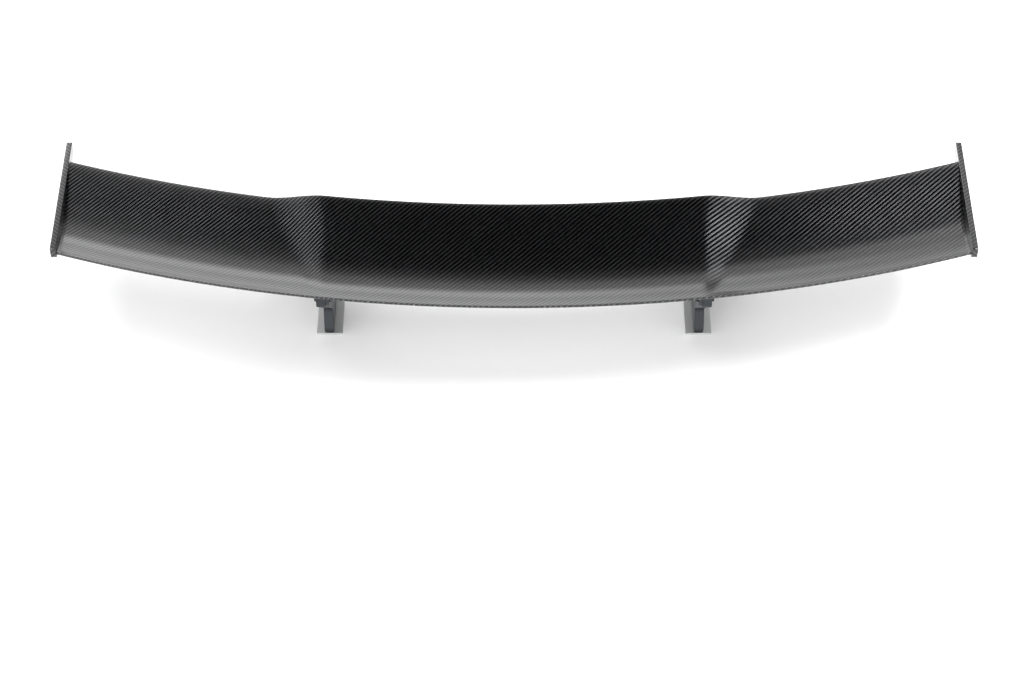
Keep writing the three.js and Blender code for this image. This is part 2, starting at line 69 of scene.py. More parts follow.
UPRIGHT_X, UPRIGHT_THICKNESS = 309.0, 16.0
UPRIGHT_OUTLINE = [                # y, z, easing of the corner
    (0, 0, 1), (202, 0, 1), (202, 7.6, 2), (193, 24, 4), (80, 112, 7),
    (46, 119.6, 50), (4, 133, 60), (-38, 151, 60), (-68, 174, 3), (-73, 147, 4),
    (15, 42, 12), (-1, 7.6, 2),
]
UPRIGHT_WINDOWS = [
    [(-37, 134, 3), (46, 104, 7), (23, 64, 6)],
    [(54, 35, 6), (140, 32, 5), (82, 84, 8)],
]
OUTLINE_BREAK, WINDOW_BREAK, HOLE_BREAK = 0.5, 0.9, 0.35
PIVOT = (-64.0, 158.0)
SETTINGS = [(61.5, 107.5), (56.9, 98.4), (51.6, 90.2), (76.4, 107.5), (71.6, 97.8), (65.7, 88.7)]
REST_PITCH = math.radians(5)
PITCH_TRAVEL = math.radians(10.5)
TAIL_AT_UPRIGHT = (-31.8, 31.6)

FOOT_LENGTH = 200
FOOT_HOLES = (21.5, 100.0, 178.5)
FOOT_HOLE_DEPTH = 20.5
GASKET_THICKNESS, GASKET_WIDTH, GASKET_HOLE = 1.5, 14.5, 5.3
GASKET_CORNER, GASKET_EDGE = 0.5, 0.2
PLATE_THICKNESS, PLATE_WIDTH, PLATE_HOLE = 3, 44, 4.75
PLATE_CORNER, PLATE_EDGE = 2, 0.35
PLATE_TOP = -4.2

FIXINGS = {"front": 0.34, "rear": 0.58}
BRACKET_WEB, FLANGE = 5.0, 3.0
BRACKET_OUTER = UPRIGHT_X - UPRIGHT_THICKNESS / 2 - GAP
BRACKET_INNER = BRACKET_OUTER - BRACKET_WEB
BRACKET_EAR = 10.5                 # radius of the metal around its pivot eye
BRACKET_NOSE = 6                   # how far its front edge stands ahead of the front ear
BRACKET_SCREW_X = 286.5
FLANGE_INNER = 279.0
FLANGE_REACH = (0.28, 0.64)
BRACKET_BREAK = 0.4
BRACKET_STEPS = 24

END_PLATE_THICKNESS = 9.7
END_PLATE_EDGE = 1.1
BEHIND_TAIL, AHEAD_OF_NOSE = 4, 52.5
ABOVE_TAIL, ABOVE_NOSE = 11.5, 2.2
REAR_HEIGHT, FRONT_HEIGHT = 19, 12
BELLY = ((0.22, 30, 60), (0.5, 50, 90), (0.78, 38, 60))  # share of the length, depth, easing
BORE_BREAK = 0.4

M5_CLEARANCE, M6_CLEARANCE, M8_CLEARANCE = 2.8, 3.3, 4.3
M5_HEAD_RADIUS, M5_HEAD = 4.6, 2.8
M6_HEAD_RADIUS, M6_HEAD, M6_LENGTH = 5.25, 3.3, 35.0
M8_HEAD, M8_LENGTH = 5.3, 30.0
WASHER_THICKNESS, SPRING_HEIGHT = 1.6, 2.2
END_SCREW_TIP = 735.0              # how far in from the end plate its screws reach
BRACKET_SCREW_REACH = 9.0

HINGE = Matrix.Translation(frame["joints"][0]["pos_m"])
MOUNT = HINGE @ Matrix.Scale(MM, 4) @ Matrix.Translation((0, -PIVOT[0], -PIVOT[1]))
WING = HINGE @ Matrix.Rotation(-REST_PITCH, 4, "X") @ Matrix.Scale(MM, 4)
# lays a plate drawn in x and y on edge: its height becomes X, its x becomes Y, its y becomes Z
SIDEWAYS = Matrix(((0, 0, 1, 0), (1, 0, 0, 0), (0, 1, 0, 0), (0, 0, 0, 1)))
MIRROR = Matrix.Scale(-1, 4, (1, 0, 0))


# ------------------------------------------------------------------ solids from loops
def lerp(a, b, t):
    return a + (b - a) * t


def smoothstep(low, high, value):
    t = min(max((value - low) / (high - low), 0.0), 1.0)
    return t * t * (3 - 2 * t)


def outline(corners, steps=8):
    """Closed loop of corners (x, y, radius), each eased by a curve between its tangent points."""
    points = []
    for i, (x, y, radius) in enumerate(corners):
        corner = Vector((x, y))
        if radius == 0:
            points.append(corner)
            continue
        before = Vector(corners[i - 1][:2]) - corner
        after = Vector(corners[(i + 1) % len(corners)][:2]) - corner
        room = min(before.length, after.length) * 0.48
        reach = min(radius / math.tan(before.angle(after) / 2), room)
        start = corner + before.normalized() * reach
        end = corner + after.normalized() * reach
        for k in range(steps + 1):
            t = k / steps
            points.append((1 - t) ** 2 * start + 2 * t * (1 - t) * corner + t * t * end)
    return [(p.x, p.y) for p in points]


def circle(x, y, radius, sides=32):
    turns = [2 * math.pi * k / sides for k in range(sides)]
    return [(x + radius * math.cos(a), y + radius * math.sin(a)) for a in turns]


def wound(loop, ccw):
    area = sum(x0 * y1 - x1 * y0 for (x0, y0), (x1, y1) in zip(loop, loop[1:] + loop[:1]))
    return loop if (area > 0) == ccw else loop[::-1]


def moved(loop, distance):
    """The loop shifted sideways, onto the material at its left."""
    shifted = []
    for i, (x, y) in enumerate(loop):
        here = Vector((x, y))
        a = (here - Vector(loop[i - 1])).normalized()
        b = (Vector(loop[(i + 1) % len(loop)]) - here).normalized()
        a, b = Vector((-a.y, a.x)), Vector((-b.y, b.x))
        here += (a + b) / (1 + a.dot(b)) * distance
        shifted.append((here.x, here.y))
    return shifted


def chamfered(thickness, size, low=0.0):
    """Levels of a plate with both edges broken at 45 degrees: (height, inset) pairs."""
    high = low + thickness
    return [(low, size), (low + size, 0), (high - size, 0), (high, size)]


def rounded(thickness, radius, low=0.0, steps=4):
    """Levels of a plate with both edges rounded."""
    arc = [math.pi / 2 * k / steps for k in range(steps + 1)]
    edge = [(radius * (1 - math.cos(a)), radius * (1 - math.sin(a))) for a in arc]
    return [(low + h, i) for h, i in edge] + [(low + thickness - h, i) for h, i in reversed(edge)]


def slab(border, holes, levels):
    """Plate between closed loops, with (height, inset) levels. Insets go into the material.

    A hole may bring levels of its own, as (loop, levels).
    """
    verts, faces, caps = [], [], set()
    sets = [(wound(border, True), levels)]
    for hole in holes:
        loop, own = hole if isinstance(hole, tuple) else (hole, levels)
        sets.append((wound(loop, False), own))
    ends = [[], []]
    for loop, own in sets:
        rings = []
        for height, inset in own:
            rings.append(range(len(verts), len(verts) + len(loop)))
            verts += [(x, y, height) for x, y in moved(loop, inset)]
        for a, b in zip(rings, rings[1:]):
            faces += [(a[i - 1], a[i], b[i], b[i - 1]) for i in range(len(loop))]
        ends[0].append(rings[0])
        ends[1].append(rings[-1])
    for rings in ends:
        index = [i for ring in rings for i in ring]
        flat = [[Vector((*verts[i][:2], 0)) for i in ring] for ring in rings]
        for triangle in tessellate_polygon(flat):
            caps.add(len(faces))
            faces.append(tuple(index[i] for i in triangle))
    return verts, faces, caps


def turned(rings, sides=48, closed=False):
    """Solid turned about Z through (radius, height) rings. Either may vary with the angle."""
    verts, faces, caps = [], [], set()
    for radius, height in rings:
        for k in range(sides):
            a = 2 * math.pi * k / sides
            r = radius(a) if callable(radius) else radius
            z = height(a) if callable(height) else height
            verts.append((r * math.cos(a), r * math.sin(a), z))
    last = len(rings) - 1
    for n in range(len(rings) if closed else last):
        a, b = n * sides, (n + 1) % len(rings) * sides
        for i in range(sides):
            j = (i + 1) % sides
            faces.append((a + i, a + j, b + j, b + i))
    if not closed:
        for ring in (0, last * sides):
            caps.add(len(faces))
            faces.append(tuple(range(ring, ring + sides)))
    return verts, faces, caps


def loft(loops):
    """Solid through a row of closed loops; the ends are closed by joining loop points in pairs."""
    size = len(loops[0])
    verts = [point for loop in loops for point in loop]
    faces, flats = [], set()
    for k in range(len(loops) - 1):
        for i in range(size):
            j = (i + 1) % size
            faces.append((k * size + i, k * size + j, (k + 1) * size + j, (k + 1) * size + i))
    last = (len(loops) - 1) * size
    for base in (0, last):
        for i in range(size // 2 - 1):
            flats.add(len(faces))
            faces.append((base + i, base + i + 1, base + size - 2 - i, base + size - 1 - i))
    return verts, faces, flats


# ------------------------------------------------------------------- cutting a solid
def bar(radius, start, end, sides=32):
    """Plain round bar between two points."""
    start, end = Vector(start), Vector(end)
    verts, faces, caps = turned([(radius, 0), (radius, (end - start).length)], sides)
    turn = Matrix.Translation(start) @ (end - start).to_track_quat("Z", "Y").to_matrix().to_4x4()
    return [tuple(turn @ Vector(v)) for v in verts], faces, caps


def scratch(solid, place=Matrix.Identity(4)):
    """Passing object for cutting and joining."""
    mesh = bpy.data.meshes.new("scratch")
    mesh.from_pydata(solid[0], [], solid[1])
    work = bmesh.new()
    work.from_mesh(mesh)
    work.transform(place)
    bmesh.ops.recalc_face_normals(work, faces=work.faces)
    work.to_mesh(mesh)
    work.free()
    thing = bpy.data.objects.new("scratch", mesh)
    bpy.context.scene.collection.objects.link(thing)
    return thing


def combined(base, cutters, operation):
    """Mesh of an object with others cut away from it, or joined to it. The others are used up."""
    for cutter in cutters:
        modifier = base.modifiers.new("carve", "BOOLEAN")
        modifier.operation = operation
        modifier.solver = "EXACT"
        modifier.object = cutter
    graph = bpy.context.evaluated_depsgraph_get()
    result = bpy.data.meshes.new_from_object(
        base.evaluated_get(graph), preserve_all_data_layers=True, depsgraph=graph)
    base.modifiers.clear()
    for cutter in cutters:
        bpy.data.objects.remove(cutter)
    return result


def carve(solid, tools, operation="DIFFERENCE"):
    """The solid with other solids cut away from it, or joined to it."""
    base = scratch(solid)
    result = combined(base, [scratch(tool) for tool in tools], operation)
    verts = [tuple(v.co) for v in result.vertices]
    faces = [tuple(p.vertices) for p in result.polygons]
    bpy.data.objects.remove(base)
    return verts, faces, set()


# ------------------------------------------------------------------- placing a piece
def put(node, solid, place, body, slot, finish, left=False, cloth=None, sharp=30, bores=()):
    """Makes the piece that stands for a node.

    cloth maps a vertex, in the solid's own frame, to the weave. bores are solids in that frame,
    cut away after the weave is laid.
    """
    verts, faces, caps = solid
    mesh = bpy.data.meshes.new(node + "_detail")
    mesh.from_pydata(verts, [], faces)
    mesh.polygons.foreach_set("use_smooth", [i not in caps for i in range(len(faces))])
    if cloth:
        layer = mesh.uv_layers.new(name="cloth")
        spots = [cloth(*v) for v in verts] if callable(cloth) else cloth
        for loop in mesh.loops:
            layer.data[loop.index].uv = spots[loop.vertex_index]
    work = bmesh.new()
    work.from_mesh(mesh)
    work.transform(MIRROR @ place if left else place)
    bmesh.ops.recalc_face_normals(work, faces=work.faces)
    limit = math.radians(sharp)
    for edge in work.edges:
        edge.smooth = len(edge.link_faces) == 2 and edge.calc_face_angle() < limit
    work.to_mesh(mesh)
    work.free()
    piece = bpy.data.objects.new(mesh.name, mesh)
    bpy.context.scene.collection.objects.link(piece)
    mesh.materials.append(finish)
    if bores:
        piece.data = combined(piece, [scratch(bore, place) for bore in bores], "DIFFERENCE")
    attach(piece, body)
    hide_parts(node)


# ---------------------------------------------------------------------- the materials
class Nodes:
    """A node tree whose nodes are added one call at a time."""

    def __init__(self, tree):
        self.tree = tree

    def add(self, kind, inputs=(), **settings):
        node = self.tree.nodes.new(kind)
        for key, value in settings.items():
            setattr(node, key, value)
        for socket, value in dict(inputs).items():
            if isinstance(value, bpy.types.NodeSocket):
                self.tree.links.new(value, node.inputs[socket])
            else:
                node.inputs[socket].default_value = value
        return node

    def math(self, operation, *values, clamp=False):
        inputs = dict(enumerate(values))
        return self.add("ShaderNodeMath", inputs, operation=operation, use_clamp=clamp).outputs[0]

    def mix(self, share, a, b):
        """Number between a and b."""
        return self.add("ShaderNodeMix", {0: share, 2: a, 3: b}).outputs[0]

    def blend(self, share, a, b, mode="MIX"):
        """Colour between a and b."""
        node = self.add("ShaderNodeMix", {0: share, 6: a, 7: b}, data_type="RGBA", blend_type=mode)
        return node.outputs[2]


class Finish(Nodes):
    """A material. Values go straight on its shader's sockets."""

    def __init__(self, name, **values):
        self.material = bpy.data.materials.new(name)
        self.material.use_nodes = True
        super().__init__(self.material.node_tree)
        self.shader = self.tree.nodes["Principled BSDF"]
        for socket, value in values.items():
            self.shader.inputs[socket.replace("_", " ")].default_value = value

    def span(self, value, low, high, to_low=0.0, to_high=1.0):
        inputs = {0: value, 1: low, 2: high, 3: to_low, 4: to_high}
        return self.add("ShaderNodeMapRange", inputs, interpolation_type="SMOOTHSTEP").outputs[0]

    def noise(self, vector, scale, detail=3.0, rough=0.5):
        inputs = {"Vector": vector, "Scale": scale, "Detail": detail, "Roughness": rough}
        return self.add("ShaderNodeTexNoise", inputs).outputs[0]

    def scaled(self, vector, by):
        return self.add("ShaderNodeVectorMath", {0: vector, 1: by}, operation="MULTIPLY").outputs[0]

    def place(self):
        """Where the surface is on the part, in metres."""
        return self.add("ShaderNodeTexCoord").outputs["Object"]

    def bump(self, height, strength, distance):
        inputs = {"Height": height, "Strength": strength, "Distance": distance}
        return self.add("ShaderNodeBump", inputs).outputs[0]

    def wire(self, **links):
        for socket, value in links.items():
            self.tree.links.new(value, self.shader.inputs[socket.replace("_", " ")])


TOW = 0.0021925                    # width of a carbon tow in metres; the twill repeats every four


def grey(value, tint=1.0):
    return (value, value, value * tint, 1)


def twill_finish(name, dark, light, coat):
    """Two-by-two twill under clear lacquer: each tow floats over two others, one step on per row."""
    f = Finish(name, Metallic=1.0, Coat_Weight=coat, Coat_Roughness=0.035, Coat_IOR=1.5,
               Anisotropic=0.92)
    cloth = f.add("ShaderNodeUVMap", uv_map="cloth").outputs[0]
    tows = f.scaled(cloth, (1 / TOW, 1 / TOW, 0))
    split = f.add("ShaderNodeSeparateXYZ", {0: tows})
    u, v = split.outputs[0], split.outputs[1]
    row_u, row_v = f.math("FLOOR", u), f.math("FLOOR", v)
    step = f.math("FLOORED_MODULO", f.math("SUBTRACT", row_u, row_v), 4.0)
    warp = f.math("LESS_THAN", step, 2.0)

    def crown(value):
        """1 along the middle of a tow, 0 along its edges."""
        off = f.math("MULTIPLY_ADD", f.math("FRACT", value), 2.0, -1.0)
        return f.math("MULTIPLY_ADD", f.math("MULTIPLY", off, off), -1.0, 1.0)

    def float_over(along):
        """1 at the middle of a float, 0 where the tow dives under its neighbour."""
        wrapped = f.math("SUBTRACT", f.math("FLOORED_MODULO", along, 4.0), 2.0)
        return f.math("COSINE", f.math("MULTIPLY", wrapped, math.pi / 2))

    along_warp = f.math("ADD", f.math("SUBTRACT", row_u, v), 2.0)
    along_weft = f.math("SUBTRACT", f.math("SUBTRACT", u, row_v), 1.0)
    crest = f.mix(warp, crown(v), crown(u))
    arch = f.mix(warp, float_over(along_weft), float_over(along_warp))
    height = f.math("MULTIPLY", f.math("POWER", crest, 0.5), f.math("MULTIPLY_ADD", arch, 0.5, 0.5))

    strands_warp = f.noise(f.scaled(tows, (9.0, 0.6, 1.0)), 1.0, 2.0)
    strands_weft = f.noise(f.scaled(tows, (0.6, 9.0, 1.0)), 1.0, 2.0)
    strands = f.mix(warp, strands_weft, strands_warp)
    drift = f.noise(f.scaled(tows, (0.045, 0.045, 1.0)), 1.0, 2.0)

    # Weft tows are painted lighter than warp tows: a painted sheen standing in for the light that
    # fibres running across the blade catch, on top of the real anisotropic reflection.
    tone = f.blend(warp, light, dark)
    # Each tow is painted darker towards its edges and where it dives under its neighbour: painted
    # shade. The strand and drift noise add random tone.
    edge = f.span(height, 0.32, 0.95, 0.04, 1.0)
    painted_shade_and_tone = f.math("MULTIPLY", edge, f.math("MULTIPLY_ADD", strands, 0.7, 0.65))
    painted_shade_and_tone = f.math("MULTIPLY", painted_shade_and_tone, f.math("MULTIPLY_ADD", drift, 0.5, 0.75))
    painted_shade_and_tone_colour = f.add("ShaderNodeCombineColor", {0: painted_shade_and_tone, 1: painted_shade_and_tone, 2: painted_shade_and_tone}).outputs[0]
    colour = f.blend(1.0, tone, painted_shade_and_tone_colour, "MULTIPLY")
    relief = f.math("MULTIPLY_ADD", strands, 0.18, height)
    f.wire(
        Base_Color=colour,
        Roughness=f.math("MULTIPLY_ADD", strands, 0.14, 0.22),
        Normal=f.bump(relief, 0.5, 0.00016),
        Anisotropic_Rotation=f.math("MULTIPLY_ADD", warp, -0.25, 0.25),
        Tangent=f.add("ShaderNodeTangent", direction_type="UV_MAP", uv_map="cloth").outputs[0],
    )
    return f.material


def anodised_finish():
    """Satin black anodising on machined plate, a little rubbed near the base."""
    f = Finish("black_anodised_detail", Metallic=0.55)
    place = f.place()
    cloud = f.noise(place, 38.0, 4.0)
    grain = f.noise(place, 3200.0, 2.0)
    marks = f.noise(f.scaled(place, (90.0, 420.0, 90.0)), 1.0, 5.0, 0.65)
    height = f.add("ShaderNodeSeparateXYZ", {0: place}).outputs[2]
    low = f.span(height, 0.019, 0.05, 1.0, 0.15)
    rub = f.math("MULTIPLY", f.span(marks, 0.6, 0.72), low, clamp=True)
    base = f.blend(cloud, (0.019, 0.0215, 0.025, 1), (0.031, 0.035, 0.041, 1))
    colour = f.blend(f.math("MULTIPLY", rub, 0.55), base, (0.085, 0.092, 0.1, 1))
    rough = f.math("MULTIPLY_ADD", cloud, 0.16, 0.36)
    f.wire(
        Base_Color=colour,
        Roughness=f.math("SUBTRACT", rough, f.math("MULTIPLY", rub, 0.08)),
        Normal=f.bump(grain, 0.25, 0.00006),
    )
    return f.material


def metal_finish(name, dark, light, rough, stretch, bump, metallic=1.0, cloud_scale=60.0):
    """Metal whose tone drifts softly and whose fine lines run across the stretched axis."""
    f = Finish(name, Metallic=metallic)
    place = f.place()
    cloud = f.noise(place, cloud_scale, 4.0)
    lines = f.noise(f.scaled(place, stretch), 1.0, 4.0, 0.6)
    share = f.math("MULTIPLY_ADD", lines, 0.6, f.math("MULTIPLY", cloud, 0.4))
    f.wire(
        Base_Color=f.blend(share, dark, light),
        Roughness=f.math("MULTIPLY_ADD", share, rough[1] - rough[0], rough[0]),
        Normal=f.bump(lines, bump, 0.00003),
    )
    return f.material


def rubber_finish():
    """Closed-cell foam strip: matt, with fine pores."""
    f = Finish("gasket_rubber_detail", Specular_IOR_Level=0.3)
    place = f.place()
    cells = f.add("ShaderNodeTexVoronoi", {"Vector": place, "Scale": 2400.0}).outputs[0]
    cloud = f.noise(place, 70.0, 3.0)
    share = f.math("MULTIPLY_ADD", cells, 0.6, f.math("MULTIPLY", cloud, 0.5))
    f.wire(
        Base_Color=f.blend(share, grey(0.008), grey(0.022)),
        Roughness=f.math("MULTIPLY_ADD", cloud, 0.15, 0.78),
        Normal=f.bump(cells, 0.5, 0.00012),
    )
    return f.material


# One fibre in two tones: the light tone is a painted sheen on the weft tows, the dark tone is the
# warp tows.
CARBON = twill_finish(
    "carbon_weave_detail", dark=(0.009, 0.0092, 0.0098, 1), light=(0.085, 0.087, 0.091, 1), coat=1.0)
ANODISED = anodised_finish()
ZINC = metal_finish(
    "zinc_steel_detail", dark=(0.5, 0.53, 0.57, 1), light=(0.74, 0.76, 0.79, 1),
    rough=(0.2, 0.36), stretch=(700.0, 700.0, 700.0), bump=0.2, cloud_scale=240.0)
PLATE = metal_finish(
    "brushed_plate_detail", dark=(0.53, 0.535, 0.54, 1), light=(0.72, 0.72, 0.72, 1),
    rough=(0.3, 0.46), stretch=(2600.0, 24.0, 2600.0), bump=0.35)
BLACK_STEEL = metal_finish(
    "black_steel_detail", dark=(0.008, 0.008, 0.009, 1), light=(0.028, 0.028, 0.03, 1),
    rough=(0.26, 0.42), stretch=(900.0, 900.0, 900.0), bump=0.25, metallic=0.6, cloud_scale=300.0)
ALLOY = metal_finish(
    "machined_alloy_detail", dark=(0.5, 0.505, 0.51, 1), light=(0.66, 0.67, 0.68, 1),
    rough=(0.25, 0.45), stretch=(60.0, 2200.0, 60.0), bump=0.3)
INNER = metal_finish(
    "carbon_inner_detail", dark=(0.012, 0.012, 0.013, 1), light=(0.05, 0.05, 0.052, 1),
    rough=(0.45, 0.7), stretch=(30.0, 2600.0, 2600.0), bump=0.6, metallic=0.2)
RUBBER = rubber_finish()


# --------------------------------------------------------------- the blade as a surface
# s runs along the chord from the nose, 0, to the tail, 1
def sagitta(x):
    return SWEEP_RADIUS - math.sqrt(SWEEP_RADIUS**2 - x * x)


TAIL_Y = TAIL_AT_UPRIGHT[0] - sagitta(UPRIGHT_X)


def chord_y(x, s):
    return TAIL_Y + sagitta(x) + CHORD * (1 - s)


def camber_z(x, s):
    inner, outer = (lerp(a, b, s) for a, b in zip(RAMP_NOSE, RAMP_TAIL))
    raised = 1 - smoothstep(inner, outer, abs(x))
    hollow = CAMBER * s * (1 - s) * (1 + CAMBER_AFT * s)
    lift = FLAT_TOP * (half_thickness(THICKEST) - half_thickness(min(s, THICKEST)))
    return TAIL_AT_UPRIGHT[1] - hollow + lift + RAISE * (1 - s) * raised


def half_thickness(s):
    foil = 0.2969 * math.sqrt(s) - 0.126 * s - 0.3516 * s**2 + 0.2843 * s**3 - 0.1036 * s**4
    return 5 * THICKNESS * foil + TAIL_THICKNESS / 2 * s


def underside(x, s):
    return camber_z(x, s) - max(half_thickness(s), 2 * NOSE_HALF)


def spread(x, s):
    """Where a chord point of station x really is along the span, with the ends toed out."""
    share = (x / HALF_SPAN) ** TOE_POWER
    return x + math.copysign(share, x) * math.tan(TOE_OUT) * (0.5 - s) * CHORD


def skin(side):
    """Half of the blade's shell: 1 for the upper skin, -1 for the lower."""
    places = [(1 - math.cos(math.pi * k / SKIN_CUTS)) / 2 for k in range(SKIN_CUTS)]
    places = [s for s in places if s < 1 - 1.5 * TAIL_LIP / CHORD]
    section = []
    for s in places:
        lining = max(half_thickness(s) - SKIN, BOND)
        lining = lerp(lining, BOND, smoothstep(*BOND_RAMP, s))
        section.append((s, max(half_thickness(s), NOSE_HALF), lining))
    for k in range(LIP_STEPS + 1):
        a = math.pi / 2 * k / LIP_STEPS
        s = 1 - TAIL_LIP / CHORD * (1 - math.sin(a))
        section.append((s, half_thickness(s) - TAIL_LIP * (1 - math.cos(a)), BOND))
    loops, weave = [], []
    for n in range(SKIN_STATIONS + 1):
        station = lerp(-HALF_SPAN, HALF_SPAN, n / SKIN_STATIONS)
        outer, inner = [], []
        for s, high, low in section:
            x = spread(station, s)
            y, z = chord_y(x, s), camber_z(x, s)
            outer.append((x, y, z + side * high))
            inner.append((x, y, z + side * low))
        run = [0.0]
        for a, b in zip(outer, outer[1:]):
            run.append(run[-1] + math.dist(a[1:], b[1:]))
        across = [outer[-1][1] + run[-LIP_STEPS - 1] - r for r in run]
        spots = [(x * MM, v * MM) for (x, _, _), v in zip(outer, across)]
        weave += spots + [(u, v - MM) for u, v in reversed(spots)]
        loops.append(outer + inner[::-1])
    return loft(loops), weave


def skin_bore(x, s):
    """What a bracket screw needs cut out of the lower skin."""
    y, z = chord_y(x, s), underside(x, s)
    return bar(M5_CLEARANCE, (x, y, z - SKIN), (x, y, z + 2 * SKIN))


def blade():
    bores = [skin_bore(x, s) for x in (-BRACKET_SCREW_X, BRACKET_SCREW_X) for s in FIXINGS.values()]
    for name, side, holes in (("blade_upper_skin", 1, ()), ("blade_lower_skin", -1, bores)):
        solid, weave = skin(side)
        put(name, solid, WING, "wing", "carbon_weave", CARBON, cloth=weave, sharp=50, bores=holes)


# ------------------------------------------------------------------ pieces of one side
def end_plate():
    x = HALF_SPAN
    tail = (chord_y(x, 1), camber_z(x, 1))
    nose = (chord_y(x, 0), camber_z(x, 0))
    rear, front = tail[0] - BEHIND_TAIL, nose[0] + AHEAD_OF_NOSE
    rear_top, front_top = tail[1] + ABOVE_TAIL, nose[1] + ABOVE_NOSE
    border = outline([
        (rear, rear_top - REAR_HEIGHT, 6),
        *((lerp(rear, front, share), tail[1] - depth, easing) for share, depth, easing in BELLY),
        (front, front_top - FRONT_HEIGHT, 12),
        (front, front_top, 5),
        (rear, rear_top, 4),
    ], 10)
    low, high = x + GAP, x + GAP + END_PLATE_THICKNESS
    wide = M5_HEAD_RADIUS + GAP - M5_CLEARANCE
    seat = high - M5_HEAD - 2 * GAP
    bore = [
        (low, BORE_BREAK), (low + BORE_BREAK, 0), (seat, 0), (seat, wide),
        (high - BORE_BREAK, wide), (high, wide + BORE_BREAK),
    ]
    holes = [
        (circle(chord_y(x, s), camber_z(x, s), M5_CLEARANCE), bore) for s in FIXINGS.values()
    ]
    return slab(border, holes, rounded(END_PLATE_THICKNESS, END_PLATE_EDGE, low))


def on_edge(solid):
    return [tuple(SIDEWAYS @ Vector(v)) for v in solid[0]], solid[1], set()


def upright():
    low = UPRIGHT_X - UPRIGHT_THICKNESS / 2
    window_break = chamfered(UPRIGHT_THICKNESS, WINDOW_BREAK, low)
    windows = [(outline(corners), window_break) for corners in UPRIGHT_WINDOWS]
    hole_break = chamfered(UPRIGHT_THICKNESS, HOLE_BREAK, low)
    holes = [(circle(y, z, M6_CLEARANCE), hole_break) for y, z in [PIVOT, *SETTINGS]]
    plate = slab(
        outline(UPRIGHT_OUTLINE), windows + holes, chamfered(UPRIGHT_THICKNESS, OUTLINE_BREAK, low))
    return carve(on_edge(plate), [
        bar(M8_CLEARANCE, (UPRIGHT_X, y, -1), (UPRIGHT_X, y, FOOT_HOLE_DEPTH)) for y in FOOT_HOLES
    ])


def foot_strip(width, thickness, top, hole_radius, corner, edge):
    """Gasket or backing plate, with the foot's three holes."""
    near, far = UPRIGHT_X - width / 2, UPRIGHT_X + width / 2
    border = outline([
        (near, 0, corner), (far, 0, corner),
        (far, FOOT_LENGTH, corner), (near, FOOT_LENGTH, corner),
    ], 6)
    holes = [circle(UPRIGHT_X, y, hole_radius) for y in FOOT_HOLES]
    return slab(border, holes, rounded(thickness, edge, top - thickness, 3))


def polar(radius, angle):
    return radius * math.cos(angle), radius * math.sin(angle)


def arc_slot(radius, half_width, start, end, steps=10):
    """Closed loop of a slot along an arc about the pivot, with round ends."""
    points = []
    for k in range(steps + 1):
        points.append(polar(radius + half_width, lerp(start, end, k / steps)))
    for k in range(1, steps):
        a = end + math.pi * k / steps
        x, y = polar(radius, end)
        points.append((x + half_width * math.cos(a), y + half_width * math.sin(a)))
    for k in range(steps + 1):
        points.append(polar(radius - half_width, lerp(end, start, k / steps)))
    for k in range(1, steps):
        a = start + math.pi + math.pi * k / steps
        x, y = polar(radius, start)
        points.append((x + half_width * math.cos(a), y + half_width * math.sin(a)))
    return points


def bracket():
    arm = Vector((SETTINGS[0][0] - PIVOT[0], SETTINGS[0][1] - PIVOT[1]))
    start = math.atan2(arm.y, arm.x) + REST_PITCH
    slot_y, slot_z = polar(arm.length, start)
    ear = BRACKET_EAR
    front, rear = slot_y + ear + BRACKET_NOSE, -ear

    def roof(y):
        """Height of the web's top edge, just under the blade."""
        sides = BRACKET_INNER, BRACKET_OUTER
        return min(underside(x, 1 - (y - chord_y(x, 1)) / CHORD) for x in sides) - GAP

    shares = [k / BRACKET_STEPS for k in range(BRACKET_STEPS + 1)]
    top = [(y, roof(y), 0) for y in (lerp(front, rear, share) for share in shares)]
    border = outline([
        *top,
        (rear, -ear, ear),
        (slot_y - 34, slot_z + 3, 30),
        (slot_y - 12, slot_z - ear, 8),
        (front, slot_z - ear, ear),
    ])
    slot = arc_slot(arm.length, M6_CLEARANCE, start, start + PITCH_TRAVEL)
    levels = chamfered(BRACKET_WEB, BRACKET_BREAK, BRACKET_INNER)
    web = on_edge(slab(border, [circle(0, 0, M6_CLEARANCE), slot], levels))
    loops = []
    for x in (FLANGE_INNER, (BRACKET_INNER + BRACKET_OUTER) / 2):
        places = (lerp(*FLANGE_REACH, share) for share in shares)
        top = [(x, chord_y(x, s), underside(x, s) - GAP) for s in places]
        loops.append(top + [(x, y, z - FLANGE) for x, y, z in top[::-1]])
    tools = []
    for s in FIXINGS.values():
        y, z = chord_y(BRACKET_SCREW_X, s), underside(BRACKET_SCREW_X, s)
        tools.append(bar(M5_CLEARANCE, (BRACKET_SCREW_X, y, z - 12), (BRACKET_SCREW_X, y, z + 5)))
    return carve(carve(web, [loft(loops)], "UNION"), tools)


# --------------------------------------------------------------------- the fasteners
# Each stands about Z: a screw from its head's outer face up, a nut from its bearing face up.
HEX_SLOPE = math.tan(math.radians(30))
CROWN = 0.93                       # round face of a hexagon, as a share of its half width


def hexagon(flat):
    """Radius of a hexagon by angle, from its centre to the middle of a flat."""
    third = math.pi / 3
    return lambda a: flat / math.cos((a + third / 2) % third - third / 2)


def thread(start, end, crest, pitch, per_turn=6):
    """Rings of a thread that rises out of the plain shank over its first turn."""
    depth = 0.61 * pitch
    count = round((end - start) / pitch * per_turn)
    rings = []
    for k in range(count + 1):
        z = lerp(start, end, k / count)
        fade = min(1.0, k / per_turn)
        rings.append((
            lambda a, z=z, fade=fade:
                crest - depth * fade * (0.5 - 0.5 * math.cos(2 * math.pi * z / pitch - a)),
            z,
        ))
    return rings


